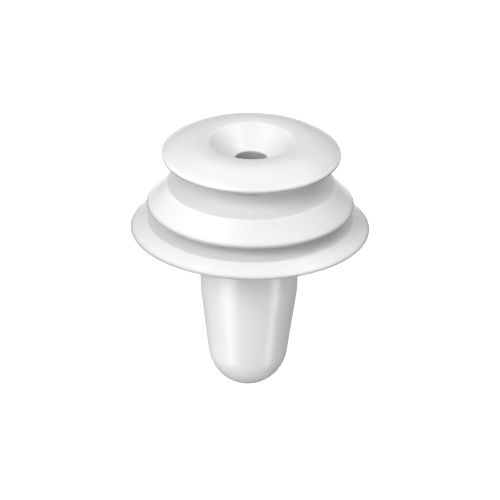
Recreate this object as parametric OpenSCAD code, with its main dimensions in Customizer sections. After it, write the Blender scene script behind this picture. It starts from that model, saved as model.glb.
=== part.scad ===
// Push-in wall anchor in two halves.
// The closed, bullet-nosed plug stays in the hole, and the seal skirt round its collar keeps
// water out of the wall. The headed stud pushes into the plug, and the tension skirt on the
// stud presses the hooked-on panel up against the head. A countersunk screw driven down the
// stud's bore spreads its four fingers behind the lip in the plug's mouth and locks it there.
// Millimetres. The origin is on the axis, in the plane of the wall's face, with +Z out of the
// wall towards the head.

/* [Head] */
// Diameter of the domed head at its rim
head_d = 15; // [14.4:0.1:15.6]
// Height of the rim's widest line above the wall
rim_z = 6.85; // [6.7:0.05:7.2]
// Height of the crown above the rim's widest line
crown_h = 1.22; // [1.1:0.01:1.4]
// Diameter of the ring where the head is highest
crest_d = 8.7; // [8.2:0.1:9]
// Roundness radius of the rim
rim_r = 0.3; // [0.25:0.01:0.35]

/* [Screw bore] */
// Diameter of the bore that the screw cuts its thread in
bore_d = 2.7; // [2.6:0.05:2.8]
// Diameter of the countersink at its mouth
sink_d = 7; // [6.8:0.1:7.2]
// Included angle of the countersink
sink_angle = 110; // [100:1:120]

/* [Stud] */
// Diameter of the neck that a panel's keyhole slot hooks round
neck_d = 6.4; // [6:0.1:6.8]
// Diameter of the shank that runs in the plug's mouth
shank_d = 5.24; // [5.2:0.01:5.26]
// Diameter of the flange that rests on the plug's boss
flange_d = 8.8; // [8.4:0.1:9]
// Width of the slots between the fingers
slot_w = 0.7; // [0.6:0.05:0.9]
// Depth of the fingers' tips below the wall's face
finger_depth = 9.3; // [9:0.1:9.5]

/* [Tension skirt] */
// Diameter of the skirt's flared rim
tension_rim_d = 17.34; // [17:0.02:17.6]
// Height of the rim above the wall
tension_rim_z = 2.23; // [2.2:0.01:2.4]
// Diameter of the edge where the top turns down into the flare
tension_edge_d = 14; // [13.8:0.02:14.2]
// Height of that edge above the wall
tension_edge_z = 4.1; // [4:0.01:4.2]

/* [Seal skirt] */
// Diameter of the lip that lies on the wall
seal_lip_d = 20; // [19.6:0.1:20.4]
// Diameter of the edge where the top turns down into the lip
seal_edge_d = 17.22; // [17:0.02:17.4]
// Height of that edge above the wall
seal_edge_z = 0.98; // [0.95:0.01:1.05]

/* [Plug] */
// Diameter of the land that grips the hole in the wall
land_d = 8.2; // [8:0.1:8.4]
// Length of the land
land_l = 5.3; // [5:0.1:5.5]
// Depth of the nose below the wall's face
plug_depth = 14.18; // [14:0.02:14.4]
// Diameter of the rounded nose where it is widest
nose_d = 6.72; // [6.6:0.02:6.8]
// Length of the nose's rounded end along the axis
nose_l = 3.6; // [3.4:0.1:3.8]
// Diameter of the collar that rests on the wall
collar_d = 12.4; // [12:0.1:12.8]
// Wall thickness at the nose
wall_t = 0.84; // [0.8:0.01:0.9]

/* [Hidden] */
$fn = 96;
fingers = 4;      // as many as NODES names
round_steps = 10; // facets along each rounded stretch of an outline

nylon = [0.93, 0.93, 0.92];
elastomer = [0.9, 0.9, 0.89];

running_gap = 0.08; // radial clearance of the stud in the plug and in its skirt
face_gap = 0.05;    // axial clearance between faces of pieces that turn on each other
hinge_gap = 0.06;   // slit at a finger's root, where its living hinge bends

// Stud: heights of its steps from the plug's boss up to the head, and its small edges
boss_top = 2.5;
flange_z = boss_top + face_gap;
flange_t = 0.6;
flange_chamfer = 0.15;
shank_end = -2.9;
shank_chamfer = 0.4;
tension_fall = 0.45; // how far the tension skirt's top falls from its hub to its edge
hub_bottom = flange_z + flange_t + face_gap;
hub_top = tension_edge_z + tension_fall;
neck_z = hub_top + face_gap;
neck_fillet = 0.5;
head_under_z = rim_z - rim_r;
crown_z = rim_z + crown_h;

// Radii that the outlines use
head_r = head_d / 2;
neck_r = neck_d / 2;
shank_r = shank_d / 2;
flange_r = flange_d / 2;
bore_r = bore_d / 2;
sink_r = sink_d / 2;
crest_r = crest_d / 2;
mouth_r = shank_r + running_gap;
land_r = land_d / 2;
collar_r = collar_d / 2;

// Crown: an arc that meets the rim's rounding smoothly, is level at the crest ring and dips a
// little towards the countersink
crown_run = head_r - rim_r - crest_r;
crown_r = (crown_run ^ 2 + crown_h ^ 2 - rim_r ^ 2) / (2 * (crown_h - rim_r));
crown_end = atan2(crown_r - crown_h, crown_run);

// Countersink, with a rounded edge at its mouth that follows on from the crown's dip
sink_slope = 90 - sink_angle / 2;
sink_lip_r = 0.14;
sink_lip_x = sink_r + sink_lip_r * tan(sink_slope / 2);
crown_dip = asin((crest_r - sink_lip_x) / crown_r);
crown_step = (90 + crown_dip - crown_end) / round_steps;
sink_lip_c = [
    sink_lip_x + sink_lip_r * sin(crown_dip),
    crown_z - crown_r * (1 - cos(crown_dip)) - sink_lip_r * cos(crown_dip)
];
sink_mouth = sink_lip_c + sink_lip_r * [cos(90 + sink_slope), sin(90 + sink_slope)];
sink_floor_z = sink_mouth.y - (sink_mouth.x - bore_r) * tan(sink_slope);

// Fingers: a waist at the root, a bulb, and a taper to a rounded tip
waist_r = 2.3;
waist_end = shank_end - 3 * hinge_gap;
bulb_top = -3.6;
bulb_end = -6.8;
tip_r = 1.9;
tip_round = 0.35;
tip_bore_r = 0.75;

// Collar and boss of the plug, which carry the seal skirt under a bead
collar_t = 0.8;
boss_r = 4.6;
seal_hub_top = 1.6;
bead_r = boss_r + 0.2;
bead_h = 0.3; // height of the bead's straight side, and of the slope above it

// Inside of the plug: a cavity that follows the outside, behind a lip in the mouth
mouth_chamfer = 0.4;
lip_end = -2.2;
lip_slope_h = 0.3;
cavity_r = 3;
cavity_straight_end = -6.5;
nose_r = nose_d / 2;
nose_z = -plug_depth + nose_l;
cavity_nose_r = nose_r - wall_t;
cavity_nose_l = nose_l - wall_t * 1.5;
cavity_nose_z = -plug_depth + wall_t + cavity_nose_l;

// Skirts: thickness of each web and of each rim's flat foot, and the small edges
tension_web_t = 0.55;
tension_foot = 0.3;
seal_web_t = 0.4;
seal_foot = 0.25;
skirt_edge = 0.1;
hub_shoulder = 0.2;

// Angle, along an ellipse of radii a and b centred at height c, where the line from the
// point p touches it on its lower side
function touch_angle(p, a, b, c) =
    let (u = p.x / a, v = (p.y - c) / b)
    atan2(v, u) - acos(1 / norm([u, v]));

// Points along an ellipse of radii a and b round the centre c, from one angle to another
function oval(c, a, b, from, to) = [
    for (i = [0:round_steps])
        let (t = from + (to - from) * i / round_steps)
            [c.x + a * cos(t), c.y + b * sin(t)]
];

// Points along a circular arc of radius r
function arc(c, r, from, to) = oval(c, r, r, from, to);

// Points along a skirt's dished top: one wide arc that falls from its hub and is level at its
// edge
function skirt_top(hub_r, hub_z, edge_r, edge_z) =
    let (run = edge_r - hub_r, fall = hub_z - edge_z, r = (run ^ 2 + fall ^ 2) / (2 * fall))
        arc([edge_r, edge_z + r], r, -90 - asin(run / r), -90);

// Half section of the stud, from its bore's lower end round the outside to its countersink
stud_outline = concat(
    [
        [bore_r, shank_end],
        [waist_r, shank_end],
        [shank_r, shank_end + shank_chamfer],
        [shank_r, flange_z],
        [flange_r - flange_chamfer, flange_z],
        [flange_r, flange_z + flange_chamfer],
        [flange_r, flange_z + flange_t],
        [shank_r, flange_z + flange_t],
        [shank_r, neck_z],
        [neck_r, neck_z]
    ],
    arc([neck_r + neck_fillet, head_under_z - neck_fillet], neck_fillet, 180, 90),
    arc([head_r - rim_r, rim_z], rim_r, -90, crown_end),
    arc([crest_r, crown_z - crown_r], crown_r, crown_end + crown_step, 90 + crown_dip),
    arc(sink_lip_c, sink_lip_r, 90 + crown_dip + 5, 90 + sink_slope),
    [[bore_r, sink_floor_z]]
);

// Half section of the ring that the fingers are cut from. Its bore narrows towards the tips,
// so that a screw spreads them.
finger_outline = concat(
    [
        [bore_r, shank_end - hinge_gap],
        [tip_bore_r, -finger_depth]
    ],
    arc([tip_r - tip_round, -finger_depth + tip_round], tip_round, -90, 0),
    [
        [shank_r, bulb_end],
        [shank_r, bulb_top],
        [waist_r, waist_end],
        [waist_r, shank_end - hinge_gap]
    ]
);

// Half section of the tension skirt: a hub round the shank, a thin top and a flared wall
tension_outline = concat(
    [[mouth_r, hub_bottom], [mouth_r, hub_top], [neck_r, hub_top]],
    skirt_top(neck_r + hub_shoulder, hub_top, tension_edge_d / 2, tension_edge_z),
    [
        [tension_rim_d / 2, tension_rim_z + skirt_edge],
        [tension_rim_d / 2 - skirt_edge, tension_rim_z],
        [tension_rim_d / 2 - skirt_edge - tension_foot, tension_rim_z],
        [tension_edge_d / 2 - 0.35, tension_edge_z - tension_web_t],
        [flange_r + 3 * hub_shoulder, tension_edge_z - tension_web_t],
        [flange_r + hub_shoulder, hub_bottom]
    ]
);

// Half section of the seal skirt: it sits on the collar, round the boss, and its lip meets
// the wall
seal_outline = concat(
    [[boss_r, collar_t], [boss_r, seal_hub_top]],
    skirt_top(boss_r + hub_shoulder, seal_hub_top, seal_edge_d / 2, seal_edge_z),
    [
        [seal_lip_d / 2, skirt_edge],
        [seal_lip_d / 2 - skirt_edge, 0],
        [seal_lip_d / 2 - skirt_edge - seal_foot, 0],
        [seal_edge_d / 2 - 0.3, seal_edge_z - seal_web_t],
        [collar_r + 3 * hub_shoulder, seal_edge_z - seal_web_t + skirt_edge],
        [collar_r, collar_t]
    ]
);

// Half section of the plug, from the nose up the outside, over the boss and down the inside
land_corner = [land_r, -land_l];
cavity_corner = [cavity_r, cavity_straight_end];
nose_touch = touch_angle(land_corner, nose_r, nose_l, nose_z);
cavity_touch = touch_angle(cavity_corner, cavity_nose_r, cavity_nose_l, cavity_nose_z);
plug_outline = concat(
    oval([0, nose_z], nose_r, nose_l, -90, nose_touch),
    [
        land_corner,
        [land_r, 0],
        [collar_r, 0],
        [collar_r, collar_t],
        [boss_r, collar_t],
        [boss_r, seal_hub_top],
        [bead_r, seal_hub_top],
        [bead_r, seal_hub_top + bead_h],
        [boss_r, seal_hub_top + 2 * bead_h],
        [boss_r, boss_top],
        [mouth_r + mouth_chamfer, boss_top],
        [mouth_r, boss_top - mouth_chamfer],
        [mouth_r, lip_end],
        [cavity_r, lip_end - lip_slope_h],
        cavity_corner
    ],
    oval([0, cavity_nose_z], cavity_nose_r, cavity_nose_l, cavity_touch, -90)
);

// Headed stud: domed head, neck, flange and bored shank, in one piece
module stud() {
    color(nylon)
        rotate_extrude()
            polygon(stud_outline);
}

// One finger of the split shank. The first lies between +X and +Y, and the rest follow
// anticlockwise.
module finger(index) {
    color(nylon)
        rotate([0, 0, index * 360 / fingers])
            intersection() {
                rotate_extrude()
                    polygon(finger_outline);
                translate([slot_w / 2, slot_w / 2, -finger_depth - 1])
                    cube([shank_d, shank_d, finger_depth + 1]);
            }
}

// Soft flared washer on the stud, under the head
module tension_skirt() {
    color(elastomer)
        rotate_extrude()
            polygon(tension_outline);
}

// Soft flared washer on the plug's collar
module seal_skirt() {
    color(elastomer)
        rotate_extrude()
            polygon(seal_outline);
}

// Closed plug with a bullet nose
module plug() {
    color(nylon)
        rotate_extrude()
            polygon(plug_outline);
}

plug();
seal_skirt();
tension_skirt();
stud();
finger(0);  // finger_back_right
finger(1);  // finger_back_left
finger(2);  // finger_front_left
finger(3);  // finger_front_right
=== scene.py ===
"""Looks of a push-in wall anchor: its moulded nylon and soft elastomer surfaces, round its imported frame.

Lengths are in millimetres in the classes below, as on a maker's drawing, and in metres in the meshes. The
origin is on the anchor's axis, in the plane of the wall's face, with +Z out of the wall towards the head.
"""

import logging
import math
from dataclasses import dataclass
from enum import Enum

import bpy
import numpy as np
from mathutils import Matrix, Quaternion, Vector


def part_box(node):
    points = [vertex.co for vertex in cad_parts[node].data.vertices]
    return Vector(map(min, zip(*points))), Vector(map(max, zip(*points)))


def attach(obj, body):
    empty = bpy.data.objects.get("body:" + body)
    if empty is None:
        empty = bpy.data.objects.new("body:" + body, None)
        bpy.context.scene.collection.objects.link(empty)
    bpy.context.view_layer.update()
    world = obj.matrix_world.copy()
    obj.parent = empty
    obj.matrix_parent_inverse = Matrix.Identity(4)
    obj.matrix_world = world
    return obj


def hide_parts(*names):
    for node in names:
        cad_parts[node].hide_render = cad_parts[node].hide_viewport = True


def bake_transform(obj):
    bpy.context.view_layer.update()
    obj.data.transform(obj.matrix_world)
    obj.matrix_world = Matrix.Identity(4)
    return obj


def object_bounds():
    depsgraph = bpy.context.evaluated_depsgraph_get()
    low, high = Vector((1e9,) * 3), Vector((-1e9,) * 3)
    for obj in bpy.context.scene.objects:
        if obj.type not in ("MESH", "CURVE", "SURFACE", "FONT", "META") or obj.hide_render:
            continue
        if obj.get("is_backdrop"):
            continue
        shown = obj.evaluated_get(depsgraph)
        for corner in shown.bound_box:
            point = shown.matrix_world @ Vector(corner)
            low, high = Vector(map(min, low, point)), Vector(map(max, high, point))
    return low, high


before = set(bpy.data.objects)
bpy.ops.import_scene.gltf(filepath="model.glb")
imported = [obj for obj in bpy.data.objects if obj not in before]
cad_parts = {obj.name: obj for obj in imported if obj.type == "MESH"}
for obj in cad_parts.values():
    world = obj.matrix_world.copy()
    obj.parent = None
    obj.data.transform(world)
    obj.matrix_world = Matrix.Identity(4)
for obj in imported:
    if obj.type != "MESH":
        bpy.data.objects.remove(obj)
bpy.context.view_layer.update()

log = logging.getLogger("wall_anchor")

MM = 0.001
TURN = 2 * math.pi
SHADE_REACH = 0.19
# How far from a place of painted shade the shade fades, in millimetres.
"""How far from a greyed place its grey fades, in millimetres."""

Points = np.ndarray
"""Rows of radius and height in millimetres, or of X, Y and Z."""


class Half(Enum):
    """The rigid bodies that the larger pieces ride on."""

    PLUG = "plug_half"
    RING = "skirt_ring"
    STUD = "stud_half"


class Corner(Enum):
    """The fingers, each with how many quarter turns it stands from the first."""

    BACK_RIGHT = 0
    BACK_LEFT = 1
    FRONT_LEFT = 2
    FRONT_RIGHT = 3

    @property
    def node(self) -> str:
        """Name of the finger's CAD node."""
        return "finger_" + self.name.lower()


# ---------------------------------------------------------------- outlines


def box_mm(node: str) -> tuple[Points, Points]:
    """Lowest and highest corner of a CAD node, in millimetres."""
    low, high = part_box(node)
    return np.array(low) / MM, np.array(high) / MM


def oval(
    centre: tuple[float, float], radii: tuple[float, float], start: float, end: float, steps: int
) -> Points:
    """Points along an ellipse: centre + (a cos t, b sin t), with t going evenly from start to end.

    Args:
        centre: Radius and height of the ellipse's centre.
        radii: Its half width a and half height b.
        start: Angle of the first point, in degrees.
        end: Angle of the last point, in degrees.
        steps: Number of stretches between the points.

    Returns:
        Rows of radius and height.
    """
    t = np.radians(np.linspace(start, end, steps + 1))
    return np.column_stack([centre[0] + radii[0] * np.cos(t), centre[1] + radii[1] * np.sin(t)])


def arc(centre: tuple[float, float], radius: float, start: float, end: float, steps: int = 12) -> Points:
    """Points along a circular arc, as oval() gives them."""
    return oval(centre, (radius, radius), start, end, steps)


def touch_angle(point: tuple[float, float], radii: tuple[float, float], height: float) -> float:
    """Angle at which a line from a point touches the lower right of an ellipse on the axis.

    The point is scaled so that the ellipse is a unit circle. There, the touching radius stands at
    acos(1 / distance) from the direction of the point.

    Args:
        point: Radius and height of the point.
        radii: Half width and half height of the ellipse.
        height: Height of the ellipse's centre.

    Returns:
        The angle in degrees.
    """
    u, v = point[0] / radii[0], (point[1] - height) / radii[1]
    return math.degrees(math.atan2(v, u) - math.acos(1 / math.hypot(u, v)))


def softened(corners: list[tuple[float, float, float]], steps: int = 8) -> Points:
    """A closed loop through corners, each replaced by an arc that touches both of its sides.

    At a corner with unit directions a and b to its neighbours and half the angle between them h, the arc
    of radius r starts r / tan h along a, ends as far along b, and has its centre on the bisector.
    A corner with radius 0 stays a single point, so a sampled curve passes through unchanged.

    Args:
        corners: Radius, height and roundness radius of each corner, in order.
        steps: Number of stretches in each arc.

    Returns:
        Rows of radius and height.
    """
    points = np.array([c[:2] for c in corners], float)
    rounding = np.array([c[2] for c in corners], float)
    back, ahead = np.roll(points, 1, 0) - points, np.roll(points, -1, 0) - points
    runs = []
    for at, a, b, r in zip(points, back, ahead, rounding):
        if r == 0:
            runs.append(at[None])
            continue
        a, b = a / np.linalg.norm(a), b / np.linalg.norm(b)
        half = math.acos(float(np.clip(a @ b, -1, 1))) / 2
        centre = at + (a + b) / np.linalg.norm(a + b) * r / math.sin(half)
        first, last = at + a * r / math.tan(half) - centre, at + b * r / math.tan(half) - centre
        t = np.linspace(0, 1, steps + 1)[:, None]
        between = math.pi - 2 * half
        bend = (np.sin((1 - t) * between) * first + np.sin(t * between) * last) / math.sin(between)
        runs.append(centre + bend)
    return np.concatenate(runs)


def plain(points: Points) -> list[tuple[float, float, float]]:
    """Sampled points as corners that softened() leaves as they are."""
    return [(float(r), float(z), 0.0) for r, z in points]


def refined(outline: Points, spacing: float, closed: bool = True) -> Points:
    """The outline with points added evenly along every stretch that is longer than spacing.

    Args:
        outline: Rows of radius and height.
        spacing: Longest stretch to leave, in millimetres.
        closed: True if the last point joins the first.

    Returns:
        Rows of radius and height, with all the old points among them.
    """
    ends = np.roll(outline, -1, 0) if closed else outline[1:]
    starts = outline if closed else outline[:-1]
    counts = np.maximum(1, np.ceil(np.linalg.norm(ends - starts, axis=1) / spacing).astype(int))
    stretch = np.repeat(np.arange(len(starts)), counts)
    first = np.cumsum(counts) - counts
    share = (np.arange(counts.sum()) - first[stretch]) / counts[stretch]
    points = starts[stretch] + (ends - starts)[stretch] * share[:, None]
    return points if closed else np.concatenate([points, outline[-1:]])


def sharpness(
    outline: Points, closed: bool = True, reach: float = 0.08, full: float = 5.0
) -> np.ndarray:
    """How much of an outside edge each point of an outline is, from 0 on a flat or a hollow to 1.

    The turn at a point over the mean length of its two stretches is the curvature there. It is averaged
    with a bell-shaped weight along the outline and set against the curvature of a crisp edge.

    Args:
        outline: Rows of radius and height, anticlockwise round the solid.
        closed: True if the last point joins the first.
        reach: Width of the weight, in millimetres along the outline.
        full: Curvature that counts as a crisp edge, per millimetre.

    Returns:
        One value for each point.
    """
    ahead = np.roll(outline, -1, 0) - outline
    back = np.roll(ahead, 1, 0)
    if not closed:
        ahead[-1], back[0] = back[-1], ahead[0]
    turn = np.arctan2(back[:, 0] * ahead[:, 1] - back[:, 1] * ahead[:, 0], (back * ahead).sum(1))
    length = (np.linalg.norm(ahead, axis=1) + np.linalg.norm(back, axis=1)) / 2
    along = np.cumsum(length)
    gap = np.abs(along[:, None] - along[None])
    if closed:
        gap = np.minimum(gap, along[-1] - gap)
    weight = np.exp(-((gap / reach) ** 2)) * length[None]
    curvature = (weight @ (turn / np.maximum(length, 1e-6))) / weight.sum(1)
    return np.clip(curvature / full, 0, 1)


# ---------------------------------------------------------------- surfaces


@dataclass
class Surface:
    """A grid of points, row by row along an outline and column by column round the axis.

    Attributes:
        points: Places in millimetres, rows x columns x 3.
        edge: How much of an outside edge each point is, rows x columns.
        lip: How much painted shade each point has, from 0 to 1, as along a rim's lip or in a bore, rows x
            columns.
        loop: True if the last row joins the first.
        ring: True if the last column joins the first.
        caps: True if the first and the last column are each filled with a flat face.
    """

    points: Points
    edge: np.ndarray
    lip: np.ndarray
    loop: bool = True
    ring: bool = True
    caps: bool = False

    @classmethod
    def turned(
        cls,
        outline: Points,
        columns: int = 256,
        loop: bool = True,
        lips: tuple[tuple[float, float], ...] = (),
    ) -> "Surface":
        """An outline carried round the axis: (r cos t, r sin t, z) for a full turn of t.

        The painted shade at a distance d from the nearest place of painted shade is exp(-(d /
        SHADE_REACH)^2).

        Args:
            outline: Rows of radius and height, anticlockwise round the solid.
            columns: Number of columns round the axis.
            loop: False if the outline starts and ends on the axis.
            lips: Radius and height of each place of painted shade, such as a rim's lip.

        Returns:
            The surface.
        """
        t = np.arange(columns) * TURN / columns
        r, z = outline[:, :1], outline[:, 1:]
        points = np.stack([r * np.cos(t), r * np.sin(t), z + 0 * t], -1)
        edge = sharpness(outline, loop)
        lip = np.zeros(len(outline))
        for place in lips:
            lip = np.maximum(lip, np.exp(-(((outline - place) ** 2).sum(1) / SHADE_REACH**2)))
        return cls(points, edge[:, None] + 0 * t, lip[:, None] + 0 * t, loop=loop)

    def index(self) -> np.ndarray:
        """Vertex number of each grid point, one number for a whole row that lies on the axis."""
        rows, columns = self.points.shape[:2]
        on_axis = np.hypot(self.points[..., 0], self.points[..., 1]).max(1) < 1e-6
        counts = np.where(on_axis, 1, columns)
        first = np.cumsum(counts) - counts
        return first[:, None] + np.where(on_axis[:, None], 0, np.arange(columns)[None])

    def faces(self) -> tuple[np.ndarray, np.ndarray]:
        """Four-sided and three-sided faces, turned outwards, as rows of vertex numbers."""
        index = self.index()
        if self.ring:
            index = np.concatenate([index, index[:, :1]], 1)
        if self.loop:
            index = np.concatenate([index, index[:1]], 0)
        corners = np.stack([index[:-1, :-1], index[:-1, 1:], index[1:, 1:], index[1:, :-1]], -1)
        corners = corners.reshape(-1, 4)
        start_pole = corners[:, 0] == corners[:, 1]
        end_pole = corners[:, 2] == corners[:, 3]
        quads = corners[~start_pole & ~end_pole]
        return quads, np.concatenate([corners[start_pole][:, 1:], corners[end_pole][:, :3]])

    def normals(self, vertices: Points, quads: np.ndarray, triangles: np.ndarray) -> Points:
        """Unit normal of each vertex: the sum of its faces' area vectors, so wide flats stay flat.

        Args:
            vertices: Places of the vertices.
            quads: Four-sided faces.
            triangles: Three-sided faces.

        Returns:
            One row for each vertex.
        """
        total = np.zeros_like(vertices)
        a, b, c, d = (vertices[quads[:, k]] for k in range(4))
        across = np.cross(c - a, d - b)
        for column in quads.T:
            np.add.at(total, column, across)
        if len(triangles):
            a, b, c = (vertices[triangles[:, k]] for k in range(3))
            across = np.cross(b - a, c - a)
            for column in triangles.T:
                np.add.at(total, column, across)
        return total / np.maximum(np.linalg.norm(total, axis=1, keepdims=True), 1e-12)

    def mesh(self, name: str) -> bpy.types.Object:
        """The surface as a smooth-shaded Blender object with its two attributes, at the origin.

        A cap's normal is turned away from the middle column, so that the cap is flat and faces outwards.

        Args:
            name: Name of the object.

        Returns:
            The object, linked to the scene.
        """
        index = self.index()
        quads, triangles = self.faces()
        used, where = np.unique(index.ravel(), return_index=True)
        vertices = self.points.reshape(-1, 3)[where]
        normals = self.normals(vertices, quads, triangles)
        sides = [*quads.tolist(), *triangles.tolist()]
        if self.caps:
            for column, flip in ((0, False), (-1, True)):
                ring = index[:, column]
                a, b = self.points[0, column], self.points[len(ring) // 2, column]
                across = np.cross(b - a, self.points[len(ring) // 4, column] - a)
                inward = self.points[:, self.points.shape[1] // 2].mean(0) - self.points[:, column].mean(0)
                across *= -np.sign(across @ inward)
                normals[ring] = across / np.linalg.norm(across)
                sides.append((ring[::-1] if flip else ring).tolist())
        data = bpy.data.meshes.new(name)
        data.from_pydata((vertices * MM).tolist(), [], sides)
        data.shade_smooth()
        data.normals_split_custom_set_from_vertices(normals.tolist())
        # The lip attribute carries the painted shade.
        for key, values in (("edge", self.edge), ("lip", self.lip)):
            attribute = data.attributes.new(key, "FLOAT", "POINT")
            attribute.data.foreach_set("value", values.ravel()[where].astype(np.float32))
        piece = bpy.data.objects.new(name, data)
        bpy.context.scene.collection.objects.link(piece)
        return piece


def ripple(surface: Surface, depth: float, seed: int) -> Surface:
    """Shrinks a turned surface unevenly, as a moulding does when it cools.

    Each point moves towards the axis by depth * (1 + mean) / 2, so nothing grows past the mould's own
    size. The mean is that of three cosines of 2, 3 and 5 times its angle, whose phases drift with height.
    Within a millimetre of the axis the movement is less, in proportion to the radius.

    Args:
        surface: A surface of revolution.
        depth: Largest movement, in millimetres.
        seed: Sets the phases.

    Returns:
        The same surface, changed.
    """
    phase = np.random.default_rng(seed).uniform(0, TURN, 3)
    x, y, z = np.moveaxis(surface.points, -1, 0)
    r, t = np.hypot(x, y), np.arctan2(y, x)
    lobes = sum(np.cos(n * t + p + 0.25 * n * z) for n, p in zip((2, 3, 5), phase)) / 3
    shrink = depth * (1 + lobes) / 2 * np.clip(r, 0, 1)
    r_new = np.maximum(r - shrink, 0)
    surface.points = np.stack([r_new * np.cos(t), r_new * np.sin(t), z], -1)
    return surface


# ---------------------------------------------------------------- materials


class Signal:
    """A socket that carries a number. Arithmetic on it adds Math nodes."""

    def __init__(self, shader: "Shader", socket: bpy.types.NodeSocket) -> None:
        """Keeps the shader that the socket belongs to."""
        self.shader = shader
        self.socket = socket

    def math(self, operation: str, *others: "Signal | float", first: bool = True) -> "Signal":
        """One Math node on this signal and others.

        Args:
            operation: The node's operation.
            others: The other operands.
            first: False if this signal is the second operand.

        Returns:
            The node's result.
        """
        operands = (self, *others) if first else (*others, self)
        return self.shader.node("ShaderNodeMath", {"operation": operation}, dict(enumerate(operands)))

    def __add__(self, other: "Signal | float") -> "Signal":
        """This plus other."""
        return self.math("ADD", other)

    def __sub__(self, other: "Signal | float") -> "Signal":
        """This minus other."""
        return self.math("SUBTRACT", other)

    def __rsub__(self, other: float) -> "Signal":
        """Other minus this."""
        return self.math("SUBTRACT", other, first=False)

    def __mul__(self, other: "Signal | float") -> "Signal":
        """This times other."""
        return self.math("MULTIPLY", other)

    def __pow__(self, other: float) -> "Signal":
        """This to the power of other."""
        return self.math("POWER", other)

    __radd__ = __add__
    __rmul__ = __mul__

    def sine(self) -> "Signal":
        """Sine of this, in radians."""
        return self.math("SINE")

    def step(self, low: float, high: float) -> "Signal":
        """0 below low, 1 above high, and a smooth rise between them."""
        ends = {1: low, 2: high, 3: 0.0, 4: 1.0}
        settings = {"interpolation_type": "SMOOTHSTEP"}
        return self.shader.node("ShaderNodeMapRange", settings, {0: self, **ends})


class Shader:
    """A material's node tree, filled node by node."""

    def __init__(self, name: str) -> None:
        """Makes an empty material of that name with a Principled BSDF."""
        self.material = bpy.data.materials.new(name)
        self.material.use_nodes = True
        self.tree = self.material.node_tree
        self.surface = self.tree.nodes["Principled BSDF"]

    def node(self, kind: str, settings: dict, sockets: dict, output: int | str = 0) -> Signal:
        """Adds one node.

        Args:
            kind: The node's type.
            settings: Its properties, set before its sockets.
            sockets: Value or Signal for each input, by name or number.
            output: Name or number of the output to hand back.

        Returns:
            That output as a signal.
        """
        made = self.tree.nodes.new(kind)
        for key, value in settings.items():
            setattr(made, key, value)
        self.feed(made, sockets)
        return Signal(self, made.outputs[output])

    def feed(self, made: bpy.types.Node, sockets: dict) -> None:
        """Links or sets a node's inputs.

        Args:
            made: The node.
            sockets: Value or Signal for each input, by name or number.
        """
        for key, value in sockets.items():
            if isinstance(value, Signal):
                self.tree.links.new(value.socket, made.inputs[key])
            else:
                made.inputs[key].default_value = value

    def noise(self, place: Signal, size: float, detail: float = 2.0, roughness: float = 0.5) -> Signal:
        """Cloudy noise from 0 to 1.

        Args:
            place: Where it is read.
            size: Width of its blotches, in millimetres.
            detail: Number of finer layers.
            roughness: Strength of the finer layers.

        Returns:
            The noise.
        """
        sockets = {"Vector": place, "Scale": 1 / (size * MM), "Detail": detail, "Roughness": roughness}
        return self.node("ShaderNodeTexNoise", {}, sockets)

    def stretched(self, place: Signal, scale: tuple[float, float, float]) -> Signal:
        """The place with each axis scaled, so that a pattern on it is drawn out."""
        return self.node("ShaderNodeVectorMath", {"operation": "MULTIPLY"}, {0: place, 1: scale})

    def mixed(self, share: Signal, low: tuple, high: tuple | Signal) -> Signal:
        """Colour between low, where share is 0, and high, where it is 1."""
        settings = {"data_type": "RGBA"}
        return self.node("ShaderNodeMix", settings, {0: share, 6: low, 7: high}, 2)

    def bumped(self, height: Signal, depth: float, normal: Signal | None = None) -> Signal:
        """Normal of a surface roughened by a height from 0 to 1.

        Args:
            height: The height.
            depth: What a height of 1 stands for, in millimetres.
            normal: The normal that it is added to.

        Returns:
            The new normal.
        """
        sockets = {"Height": height, "Distance": depth * MM, "Strength": 1.0}
        if normal is not None:
            sockets["Normal"] = normal
        return self.node("ShaderNodeBump", {}, sockets)


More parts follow.
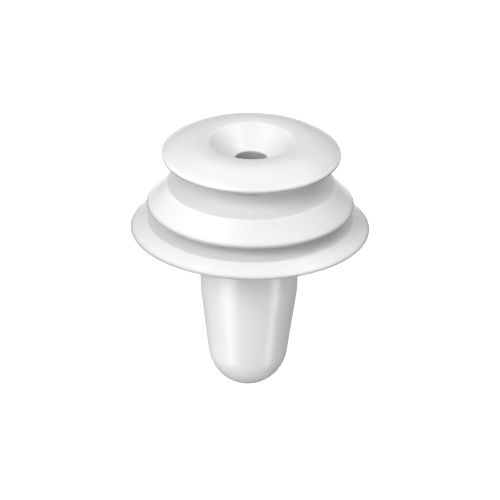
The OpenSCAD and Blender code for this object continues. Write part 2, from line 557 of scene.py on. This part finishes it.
@dataclass(frozen=True)
class Moulding:
    """A moulded polymer's finish.

    Attributes:
        name: Name of the material.
        slot: Name of its material slot, which is not used.
        deep: Colour of the body of the material.
        pale: Colour of the paler clouds in it.
        wear_and_highlight: Colour where it is worn along an edge, pale enough to paint a highlight there.
        painted_shade: Grey painted as shade along the rims' lips and on the bore's wall.
        roughness: Roughness of its clean skin.
        grain_size: Width of the mould's spark-eroded grain, in millimetres.
        grain_depth: Depth of that grain, in millimetres.
        tool_pitch: Distance between the mould's turning lines, in millimetres.
        tool_depth: Depth of those lines, in millimetres.
        glow: How much light travels inside it before it comes out.
        glow_reach: How far that light travels, in millimetres.
        bloom: How much the dull film on its skin changes its roughness.
        speckle_change: How much fine speckle changes its roughness.
        scuff_change: How much a scuff adds to its roughness.
        rub_change: How much smoother it is along the worn, pale-painted edges.
    """

    name: str
    slot: str
    deep: tuple[float, float, float]
    pale: tuple[float, float, float]
    wear_and_highlight: tuple[float, float, float]
    painted_shade: tuple[float, float, float]
    roughness: float
    grain_size: float
    grain_depth: float
    tool_pitch: float
    tool_depth: float
    glow: float
    glow_reach: float
    bloom: float
    speckle_change: float = 0.03
    scuff_change: float = 0.03
    rub_change: float = 0.03

    def material(self) -> bpy.types.Material:
        """The finish as a procedural material.

        Returns:
            The material.
        """
        s = Shader(self.name)
        place = s.node("ShaderNodeTexCoord", {}, {}, "Object")
        edge = s.node("ShaderNodeAttribute", {"attribute_name": "edge"}, {}, "Fac")
        # The lip attribute says where shade is painted: along rims' lips and down the bore's wall.
        lip = s.node("ShaderNodeAttribute", {"attribute_name": "lip"}, {}, "Fac")

        clouds = s.noise(place, size=3.2, detail=3.0, roughness=0.55)
        flow = s.noise(s.stretched(place, (1.0, 1.0, 0.22)), size=0.9, detail=3.0, roughness=0.6)
        speckle = s.noise(place, size=0.16, detail=2.0, roughness=0.6)
        # Edges get a pale colour that is partly wear and partly a painted highlight along the crisp edges;
        # painted shade keeps it off.
        wear_and_highlight = edge * (0.75 + 0.25 * (0.5 * speckle + 0.5 * flow).step(0.35, 0.65)) * (1 - lip)
        film = (clouds * 0.6 + flow * 0.4).step(0.2, 0.8)
        streaks = s.noise(s.stretched(place, (1.0, 0.16, 0.5)), size=0.12, detail=4.0, roughness=0.7)
        scuffs = streaks.step(0.68, 0.85)

        lightness = (0.35 * clouds + 0.4 * flow + 0.25 * speckle).step(0.2, 0.8)
        body = s.mixed(lightness, (*self.deep, 1.0), (*self.pale, 1.0))
        # Painted highlight and wear: crisp edges are mixed towards a near-white.
        colour = s.mixed(wear_and_highlight * 0.9, body, (*self.wear_and_highlight, 1.0))
        # Painted shade: a grey mixed in along rims' lips and down the bore's wall.
        colour = s.mixed(lip * (0.7 + 0.3 * flow), colour, (*self.painted_shade, 1.0))

        skin = self.roughness + self.bloom * (film - 0.5) + self.speckle_change * (speckle - 0.5)
        rough = skin + self.scuff_change * scuffs - self.rub_change * wear_and_highlight

        x, y, z = (self.part(s, place, axis) for axis in range(3))
        radius = (x * x + y * y) ** 0.5
        wander = 0.35 * s.noise(place, size=2.4, detail=1.0, roughness=0.5)
        lines = ((radius + z) * (TURN / (self.tool_pitch * MM)) + wander * TURN).sine() * 0.5 + 0.5
        grain = s.noise(place, size=self.grain_size, detail=3.0, roughness=0.65)
        peel = s.noise(place, size=1.1, detail=2.0, roughness=0.5)
        normal = s.bumped(peel, depth=0.005)
        normal = s.bumped(lines * (0.4 + 0.6 * flow), self.tool_depth, normal)
        normal = s.bumped(grain, self.grain_depth, normal)

        s.feed(s.surface, {"Base Color": colour, "Roughness": rough, "Normal": normal})
        s.feed(s.surface, {
            "IOR": 1.5,
            "Subsurface Weight": self.glow,
            "Subsurface Radius": (1.0, 0.92, 0.84),
            "Subsurface Scale": self.glow_reach * MM,
        })
        return s.material

    @staticmethod
    def part(s: Shader, place: Signal, axis: int) -> Signal:
        """One coordinate of a place."""
        return s.node("ShaderNodeSeparateXYZ", {}, {0: place}, axis)


NYLON = Moulding(
    name="nylon_moulded", slot="nylon", deep=(0.77, 0.77, 0.765), pale=(0.81, 0.81, 0.805),
    wear_and_highlight=(0.96, 0.96, 0.955), painted_shade=(0.3, 0.3, 0.295), roughness=0.32, grain_size=0.07,
    grain_depth=0.0016, tool_pitch=0.34, tool_depth=0.001, glow=0.2, glow_reach=0.5, bloom=0.05,
)
ELASTOMER = Moulding(
    name="elastomer_moulded", slot="elastomer", deep=(0.82, 0.82, 0.815), pale=(0.87, 0.87, 0.865),
    wear_and_highlight=(0.96, 0.96, 0.955), painted_shade=(0.3, 0.3, 0.295), roughness=0.34, grain_size=0.05,
    grain_depth=0.0026, tool_pitch=0.42, tool_depth=0.001, glow=0.25, glow_reach=0.7, bloom=0.06,
)


class Dresser:
    """Gives each piece its material, in place of a CAD node."""

    def __init__(self) -> None:
        """Starts with no material made."""
        self.made: dict[str, bpy.types.Material] = {}

    def dress(self, piece: bpy.types.Object, finish: Moulding, node: str) -> None:
        """Gives a piece its finish, and lets it stand for a CAD node.

        Args:
            piece: The piece.
            finish: Its finish.
            node: The CAD node that it replaces.
        """
        if finish.name not in self.made:
            self.made[finish.name] = finish.material()
        piece.data.materials.append(self.made[finish.name])
        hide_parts(node)
        triangles = sum(len(p.vertices) - 2 for p in piece.data.polygons)
        log.info("%s stands for %s: %d triangles of %s", piece.name, node, triangles, finish.name)


# ---------------------------------------------------------------- the anchor


@dataclass
class Plug:
    """The closed half: a land that grips the wall's hole, a collar, a boss, and a bullet nose."""

    land_length: float = 5.3
    land_blend: float = 9.0
    nose_r: float = 3.36
    nose_length: float = 3.6
    wall: float = 0.84
    collar_t: float = 0.8
    boss_r: float = 4.6
    bead_z: float = 1.6
    bead_t: float = 0.3
    bead_out: float = 0.2
    mouth_r: float = 2.7
    mouth_chamfer: float = 0.4
    lip_z: float = -2.2
    cavity_r: float = 3.0
    cavity_straight_z: float = -6.5
    gate_r: float = 0.42
    gate_depth: float = 0.07
    stub_height: float = 0.9
    stub_slimness: float = 2.2
    land_r: float = 4.1
    lip_depth: float = 0.3
    cavity_blend: float = 3.0
    shrinkage: float = 0.012
    spacing: float = 0.25

    def nose(self, depth: float) -> Points:
        """Outside of the nose, from the moulding gate on the axis to where it meets the taper.

        The nose is a quarter of an oval. Its end is dished over the gate: height drops from the oval by
        gate_depth times a smooth bell of the radius, with the broken-off gate standing in the middle.

        Args:
            depth: Depth of the nose's end below the wall.

        Returns:
            Rows of radius and height.
        """
        centre_z = self.nose_length - depth
        radii = (self.nose_r, self.nose_length)
        touch = touch_angle((self.land_r, -self.land_length), radii, centre_z)
        outline = oval((0, centre_z), radii, -90, touch, 56)
        outline[0, 0] = 0.0
        r = outline[:, 0] / self.gate_r
        stub = self.stub_height * np.exp(-((self.stub_slimness * r) ** 6))
        outline[:, 1] += self.gate_depth * (np.exp(-(r**4)) - stub)
        return outline

    def outline(self) -> Points:
        """Half section of the plug, from the nose's end up the outside and down the inside.

        The cavity ends in an oval, set in from the nose's by the wall's thickness in radius and by one and
        a half times that in length.
        """
        low, high = box_mm("plug")
        depth, collar_r, top = -low[2], high[0], high[2]
        cavity = (self.nose_r - self.wall, self.nose_length - 1.5 * self.wall)
        cavity_z = -depth + self.wall + cavity[1]
        inner_corner = (self.cavity_r, self.cavity_straight_z)
        inner_touch = touch_angle(inner_corner, cavity, cavity_z)
        inner_nose = oval((0, cavity_z), cavity, inner_touch, -90, 28)
        inner_nose[-1, 0] = 0.0
        corners = [
            *plain(self.nose(depth)),
            (self.land_r, -self.land_length, self.land_blend),
            (self.land_r, 0, 0.12),
            (collar_r, 0, 0.1),
            (collar_r, self.collar_t, 0.1),
            (self.boss_r, self.collar_t, 0.05),
            (self.boss_r, self.bead_z, 0.04),
            (self.boss_r + self.bead_out, self.bead_z, 0.04),
            (self.boss_r + self.bead_out, self.bead_z + self.bead_t, 0.08),
            (self.boss_r, self.bead_z + 2 * self.bead_t, 0.1),
            (self.boss_r, top, 0.12),
            (self.mouth_r + self.mouth_chamfer, top, 0.08),
            (self.mouth_r, top - self.mouth_chamfer, 0.15),
            (self.mouth_r, self.lip_z, 0.06),
            (self.cavity_r, self.lip_z - self.lip_depth, 0.1),
            (*inner_corner, self.cavity_blend),
            *plain(inner_nose),
        ]
        return softened(corners)

    def build(self, dresser: Dresser) -> None:
        """Makes the plug and rides it on its body."""
        surface = Surface.turned(refined(self.outline(), self.spacing, closed=False), loop=False)
        piece = ripple(surface, self.shrinkage, seed=3).mesh("plug_shell")
        dresser.dress(piece, NYLON, "plug")
        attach(piece, Half.PLUG.value)


@dataclass
class Skirt:
    """A soft flared washer: a hub, a thin dished top, a crisp edge and a flared wall down to its rim.

    Attributes:
        node: The CAD node that it stands for.
        half: The body that it rides on.
        bore_r: Radius of its hole.
        shoulder_r: Radius at which the dished top starts.
        hub_top: Height of the hub's top.
        hub_base: Height of the hub's underside.
        hub_r: Outer radius of the hub's underside.
        edge_r: Radius of the crisp edge where the top turns down.
        edge_z: Height of that edge.
        under: Points of the underside, from the hub out to below the edge.
        foot: Width of the rim's flat underside.
        seed: Sets the unevenness.
        rim_nose: Height and width of the rim's blunt end.
        rim_round: Roundness of that end's corners.
        edge_round: Roundness of the crisp edge.
        edge_lead: Degrees of the top's arc that are left out at that edge.
        shrinkage: Largest movement of its skin towards the axis.
        spacing: Longest stretch of its outline.
    """

    node: str
    half: Half
    bore_r: float
    shoulder_r: float
    hub_top: float
    hub_base: float
    hub_r: float
    edge_r: float
    edge_z: float
    under: tuple[tuple[float, float], ...]
    foot: float
    seed: int
    rim_nose: float = 0.1
    rim_round: float = 0.07
    edge_round: float = 0.22
    edge_lead: float = 1.0
    shrinkage: float = 0.02
    spacing: float = 0.2

    def outline(self) -> Points:
        """Half section of the skirt, anticlockwise from its hub's underside.

        The top is an arc that is level at the edge and falls to it from the hub. Its radius is
        (run^2 + fall^2) / (2 fall).
        """
        low, high = box_mm(self.node)
        rim_r, rim_z = high[0], low[2]
        run, fall = self.edge_r - self.shoulder_r, self.hub_top - self.edge_z
        dish = (run**2 + fall**2) / (2 * fall)
        lean = math.degrees(math.asin(run / dish))
        top = arc((self.edge_r, self.edge_z + dish), dish, -90 - self.edge_lead, -90 - lean, 30)
        corners = [
            (self.bore_r, self.hub_base, 0.05),
            (self.hub_r, self.hub_base, 0.12),
            *[(r, z, 0.15) for r, z in self.under],
            (rim_r - self.rim_nose - self.foot, rim_z, 0.08),
            (rim_r - self.rim_nose, rim_z, self.rim_round),
            (rim_r, rim_z + self.rim_nose, self.rim_round),
            (self.edge_r, self.edge_z, self.edge_round),
            *plain(top),
            (self.bore_r, self.hub_top, 0.05),
        ]
        return softened(corners)

    def build(self, dresser: Dresser) -> None:
        """Makes the skirt and rides it on its body."""
        low, high = box_mm(self.node)
        # A line of painted shade along the rim's blunt end.
        rim = (high[0], low[2] + self.rim_nose)
        surface = Surface.turned(refined(self.outline(), self.spacing), lips=(rim,))
        piece = ripple(surface, self.shrinkage, self.seed).mesh(self.node + "_ring")
        dresser.dress(piece, ELASTOMER, self.node)
        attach(piece, self.half.value)


TENSION = Skirt(
    node="tension_skirt", half=Half.RING, bore_r=2.7, shoulder_r=3.4, hub_top=4.55, hub_base=3.2, hub_r=4.6,
    edge_r=7.0, edge_z=4.1, under=((5.0, 3.55), (6.65, 3.55)), foot=0.3, seed=11,
)
SEAL = Skirt(
    node="seal_skirt", half=Half.PLUG, bore_r=4.6, shoulder_r=4.8, hub_top=1.6, hub_base=0.8, hub_r=6.2,
    edge_r=8.61, edge_z=0.98, under=((6.8, 0.68), (8.31, 0.58)), foot=0.25, seed=5,
)


@dataclass
class Stud:
    """The headed half: a domed head with a countersunk bore, a neck, a flange and a shank.

    The head's rim gets a line of painted shade rim_shade in from its widest and down from its middle. The
    bore's wall gets painted shade up to bore_shade_drop below the crown, by places bore_shade_step apart.
    """

    rim_z: float = 6.85
    rim_round: float = 0.3
    crest_r: float = 4.35
    sink_r: float = 3.5
    sink_angle: float = 110.0
    sink_lip: float = 0.14
    bore_r: float = 1.35
    neck_r: float = 3.2
    neck_fillet: float = 0.5
    neck_z: float = 4.6
    shank_r: float = 2.62
    flange_r: float = 4.4
    flange_z: float = 2.55
    flange_t: float = 0.6
    waist_r: float = 2.3
    shank_chamfer: float = 0.4
    witness: float = 0.012
    witness_width: float = 0.03
    rim_shade: tuple[float, float] = (0.03, 0.13)
    bore_shade_drop: float = 1.8
    bore_shade_step: float = 0.15
    shrinkage: float = 0.008
    spacing: float = 0.2

    def head(self) -> Points:
        """Outside of the head, from the rim's underside over the crown to the countersink's mouth.

        The rim is a small arc whose widest line carries the witness of the mould's parting plane. The
        crown is a wide arc that is level at the crest and meets the rim's arc smoothly.

        Returns:
            Rows of radius and height.
        """
        high = box_mm("stud")[1]
        head_r, crown_z = high[0], high[2]
        run = head_r - self.rim_round - self.crest_r
        rise = crown_z - self.rim_z
        crown_r = (run**2 + rise**2 - self.rim_round**2) / (2 * (rise - self.rim_round))
        meet = math.degrees(math.atan2(crown_r - rise, run))
        slope = 90 - self.sink_angle / 2
        lip_x = self.sink_r + self.sink_lip * math.tan(math.radians(slope / 2))
        dip = math.degrees(math.asin((self.crest_r - lip_x) / crown_r))
        rim = arc((head_r - self.rim_round, self.rim_z), self.rim_round, -90, meet, 24)
        off_plane = (rim[:, 1] - self.rim_z) / self.witness_width
        rim[:, 0] += self.witness * np.exp(-(off_plane**2)) - self.witness
        crown = arc((self.crest_r, crown_z - crown_r), crown_r, meet, 90 + dip, 60)[1:]
        lean = math.radians(dip)
        centre = (lip_x + self.sink_lip * math.sin(lean), crown[-1, 1] - self.sink_lip * math.cos(lean))
        lip = arc(centre, self.sink_lip, 90 + dip, 90 + slope, 12)[1:]
        return np.concatenate([rim, crown, lip])

    def outline(self) -> Points:
        """Half section of the stud, anticlockwise from the lower end of its bore."""
        end = box_mm("stud")[0][2]
        slope = math.radians(90 - self.sink_angle / 2)
        mouth = self.head()[-1]
        floor_z = mouth[1] - (mouth[0] - self.bore_r) * math.tan(slope)
        flange_top = self.flange_z + self.flange_t
        corners = [
            (self.bore_r, end, 0.05),
            (self.waist_r, end, 0.05),
            (self.shank_r, end + self.shank_chamfer, 0.2),
            (self.shank_r, self.flange_z, 0.08),
            (self.flange_r, self.flange_z, 0.15),
            (self.flange_r, flange_top, 0.1),
            (self.shank_r, flange_top, 0.08),
            (self.shank_r, self.neck_z, 0.05),
            (self.neck_r, self.neck_z, 0.05),
            (self.neck_r, self.rim_z - self.rim_round, self.neck_fillet),
            *plain(self.head()),
            (self.bore_r, floor_z, 0.12),
        ]
        return softened(corners, steps=10)

    def build(self, dresser: Dresser) -> None:
        """Makes the stud and rides it on its body."""
        low, high = box_mm("stud")
        # Painted shade along the underside of the head's rim and down the bore's wall.
        rim = (high[0] - self.rim_shade[0], self.rim_z - self.rim_shade[1])
        heights = np.arange(low[2], high[2] - self.bore_shade_drop, self.bore_shade_step)
        wall = [(self.bore_r, z) for z in heights]
        surface = Surface.turned(refined(self.outline(), self.spacing), lips=(rim, *wall))
        piece = ripple(surface, self.shrinkage, seed=7).mesh("stud_body")
        dresser.dress(piece, NYLON, "stud")
        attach(piece, Half.STUD.value)


@dataclass
class Finger:
    """One of the shank's four springy fingers, rooted in the stud by its living hinge."""

    corner: Corner
    slot_half: float = 0.35
    bore_r: float = 1.35
    waist_r: float = 2.3
    waist_z: float = -3.08
    bulb_r: float = 2.62
    bulb_top: float = -3.6
    bulb_end: float = -6.8
    tip_r: float = 1.9
    tip_round: float = 0.35
    tip_bore_r: float = 0.75
    root_sink: float = 0.04
    edge_round: float = 0.06
    hinge_length: float = 0.7
    columns: int = 40
    bend_columns: int = 6
    spacing: float = 0.12

    def outline(self) -> Points:
        """Half section of the finger, anticlockwise from the bore's narrow end."""
        tip, root = box_mm(self.corner.node)[0][2], box_mm("stud")[0][2] + self.root_sink
        corners = [
            (self.tip_bore_r, tip, 0.08),
            (self.tip_r, tip, self.tip_round),
            (self.bulb_r, self.bulb_end, 0.8),
            (self.bulb_r, self.bulb_top, 0.25),
            (self.waist_r, self.waist_z, 0.15),
            (self.waist_r, root, 0.02),
            (self.bore_r, root, 0.02),
        ]
        return refined(softened(corners), self.spacing)

    def surface(self) -> Surface:
        """The half section carried from one slot to the next.

        A column stands in a plane at a distance d from the slot's middle, so a point of radius r turns to
        the angle asin(d / r). The first columns round the slot's edge: as d falls to slot_half along
        a quarter circle, the half section shrinks along its normals by what is left of the circle.

        Returns:
            The finger's surface, with flat faces on the slots.
        """
        outline = self.outline()
        ahead = np.roll(outline, -1, 0) - np.roll(outline, 1, 0)
        outward = np.column_stack([ahead[:, 1], -ahead[:, 0]])
        outward /= np.linalg.norm(outward, axis=1, keepdims=True)
        bend = np.linspace(math.pi / 2, 0, self.bend_columns)
        inset = self.edge_round * (1 - np.cos(bend))
        plane = self.slot_half + self.edge_round * (1 - np.sin(bend))
        share = np.linspace(0, 1, self.columns)[1:-1]

        def at(shrink: np.ndarray) -> tuple[np.ndarray, np.ndarray]:
            """Radius and height of the half section, shrunk by each column's amount."""
            moved = outline[:, None] - outward[:, None] * shrink[None, :, None]
            return moved[..., 0], moved[..., 1]

        r_in, z_in = at(inset)
        start = np.arcsin(np.clip(plane[None] / r_in, -1, 1))
        r_mid, z_mid = at(np.zeros(len(share)))
        low = start[:, -1:]
        middle = low + (math.pi / 2 - 2 * low) * share[None]
        r = np.concatenate([r_in, r_mid, r_in[:, ::-1]], 1)
        z = np.concatenate([z_in, z_mid, z_in[:, ::-1]], 1)
        t = np.concatenate([start, middle, math.pi / 2 - start[:, ::-1]], 1)
        t += self.corner.value * math.pi / 2
        edge = np.broadcast_to(sharpness(outline)[:, None], r.shape).copy()
        # The slot's rounded edges count as full edges, so they get the pale wear and painted highlight.
        edge[:, 1:self.bend_columns - 1] = 1.0
        edge[:, 1 - self.bend_columns:-1] = 1.0
        points = np.stack([r * np.cos(t), r * np.sin(t), z], -1)
        return Surface(points, edge, 0 * edge, ring=False, caps=True)

    def build(self, dresser: Dresser) -> None:
        """Makes the finger."""
        piece = self.surface().mesh(self.corner.node + "_spring")
        dresser.dress(piece, NYLON, self.corner.node)
        self.corner.node
        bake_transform(piece)


# ---------------------------------------------------------------- studio


@dataclass(frozen=True)
class Softbox:
    """A soft studio light with a wide, low or round face that points at the anchor.

    Attributes:
        name: Name of the light.
        azimuth: Degrees round the anchor from the camera's side, positive to the right.
        elevation: Degrees above the horizon.
        width: Width of its face in metres.
        height: Height of its face in metres.
        radiance: Brightness of its face.
        distance: Distance from the anchor, in metres.
    """

    name: str
    azimuth: float
    elevation: float
    width: float
    height: float
    radiance: float
    distance: float = 0.6

    def build(self) -> None:
        """Makes the light. Its power is its radiance times pi times its face's area, pi w h / 4."""
        a, e = math.radians(self.azimuth), math.radians(self.elevation)
        back = Vector((math.sin(a) * math.cos(e), -math.cos(a) * math.cos(e), math.sin(e)))
        data = bpy.data.lights.new(self.name, "AREA")
        data.shape = "ELLIPSE"
        data.size, data.size_y = self.width, self.height
        data.energy = self.radiance * math.pi * math.pi * self.width * self.height / 4
        light = bpy.data.objects.new(self.name, data)
        light.location = back * self.distance
        light.rotation_mode = "QUATERNION"
        light.rotation_quaternion = back.to_track_quat("Z", "Y")
        light.visible_camera = False
        bpy.context.scene.collection.objects.link(light)


@dataclass
class Studio:
    """A pale floor, soft light and a long-lens camera that looks down at the anchor."""

    elevation: float = 26.0
    view_width: float = 41.7
    look_at: tuple[float, float, float] = (0.04, 0.0, -2.05)
    roll: float = 1.0
    lens: float = 600.0
    sensor: float = 36.0
    floor_drop: float = 60.0
    wall_radius: float = 1000.0
    wall_curve: float = 300.0
    wall_height: float = 900.0
    ambient: float = 0.01
    softboxes: tuple[Softbox, ...] = (
        Softbox("key_left", -34, 35, 0.4, 0.3, 8.0),
        Softbox("key_right", 26, 35, 0.34, 0.3, 2.6),
        Softbox("top_left", -78, 60, 0.26, 0.26, 3.2),
        Softbox("top_right", 84, 60, 0.26, 0.26, 3.2),
        Softbox("side_left", -90, 9, 0.25, 0.3, 4.2),
        Softbox("side_right", 76, 10, 0.25, 0.3, 3.6),
        Softbox("back", 160, 64, 0.7, 0.45, 1.6),
        Softbox("low_back", 180, -18, 0.6, 0.3, 2.2),
        Softbox("low_left", -50, -28, 0.36, 0.36, 6.2),
        Softbox("low_right", 66, -28, 0.16, 0.4, 8.0),
    )

    def floor(self) -> None:
        """A self-lit white floor that curves up into a round wall. It sheds no light on the anchor."""
        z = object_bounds()[0].z / MM - self.floor_drop
        sweep = arc((self.wall_radius - self.wall_curve, z + self.wall_curve), self.wall_curve, 0, -90, 24)
        outline = np.concatenate([[[self.wall_radius, z + self.wall_height]], sweep, [[0.0, z]]])
        piece = Surface.turned(outline, columns=96, loop=False).mesh("floor")
        shader = Shader("floor_paper")
        shader.feed(shader.surface, {"Base Color": (0.9, 0.9, 0.9, 1.0), "Roughness": 0.9})
        shader.feed(shader.surface, {"Emission Color": (1.0, 1.0, 1.0, 1.0), "Emission Strength": 0.85})
        piece.data.materials.append(shader.material)
        piece.visible_diffuse = False
        piece.visible_glossy = False
        piece.visible_shadow = False
        piece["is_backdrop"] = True

    def camera(self) -> None:
        """The camera, far enough back for the view's width to span its frame."""
        e = math.radians(self.elevation)
        back = Vector((0, -math.cos(e), math.sin(e)))
        data = bpy.data.cameras.new("camera")
        data.lens, data.sensor_width = self.lens, self.sensor
        data.clip_start, data.clip_end = 0.01, 20.0
        camera = bpy.data.objects.new("camera", data)
        distance = self.view_width * self.lens / self.sensor
        camera.location = (Vector(self.look_at) + back * distance) * MM
        camera.rotation_mode = "QUATERNION"
        level = back.to_track_quat("Z", "Y")
        camera.rotation_quaternion = Quaternion(back, math.radians(self.roll)) @ level
        bpy.context.scene.collection.objects.link(camera)
        bpy.context.scene.camera = camera

    def build(self) -> None:
        """Makes the floor, the lights, the dim surroundings and the camera."""
        self.floor()
        for softbox in self.softboxes:
            softbox.build()
        world = bpy.data.worlds.new("surroundings")
        world.use_nodes = True
        world.node_tree.nodes["Background"].inputs["Color"].default_value = (1.0, 1.0, 1.0, 1.0)
        world.node_tree.nodes["Background"].inputs["Strength"].default_value = self.ambient
        bpy.context.scene.world = world
        bpy.context.scene.view_settings.view_transform = "Standard"
        self.camera()


def main() -> None:
    """Builds the anchor's pieces and the studio."""
    logging.basicConfig(level=logging.INFO, format="%(name)s: %(message)s")
    dresser = Dresser()
    Plug().build(dresser)
    SEAL.build(dresser)
    TENSION.build(dresser)
    Stud().build(dresser)
    for corner in Corner:
        Finger(corner).build(dresser)
    Studio().build()


if __name__ == "__main__":
    main()
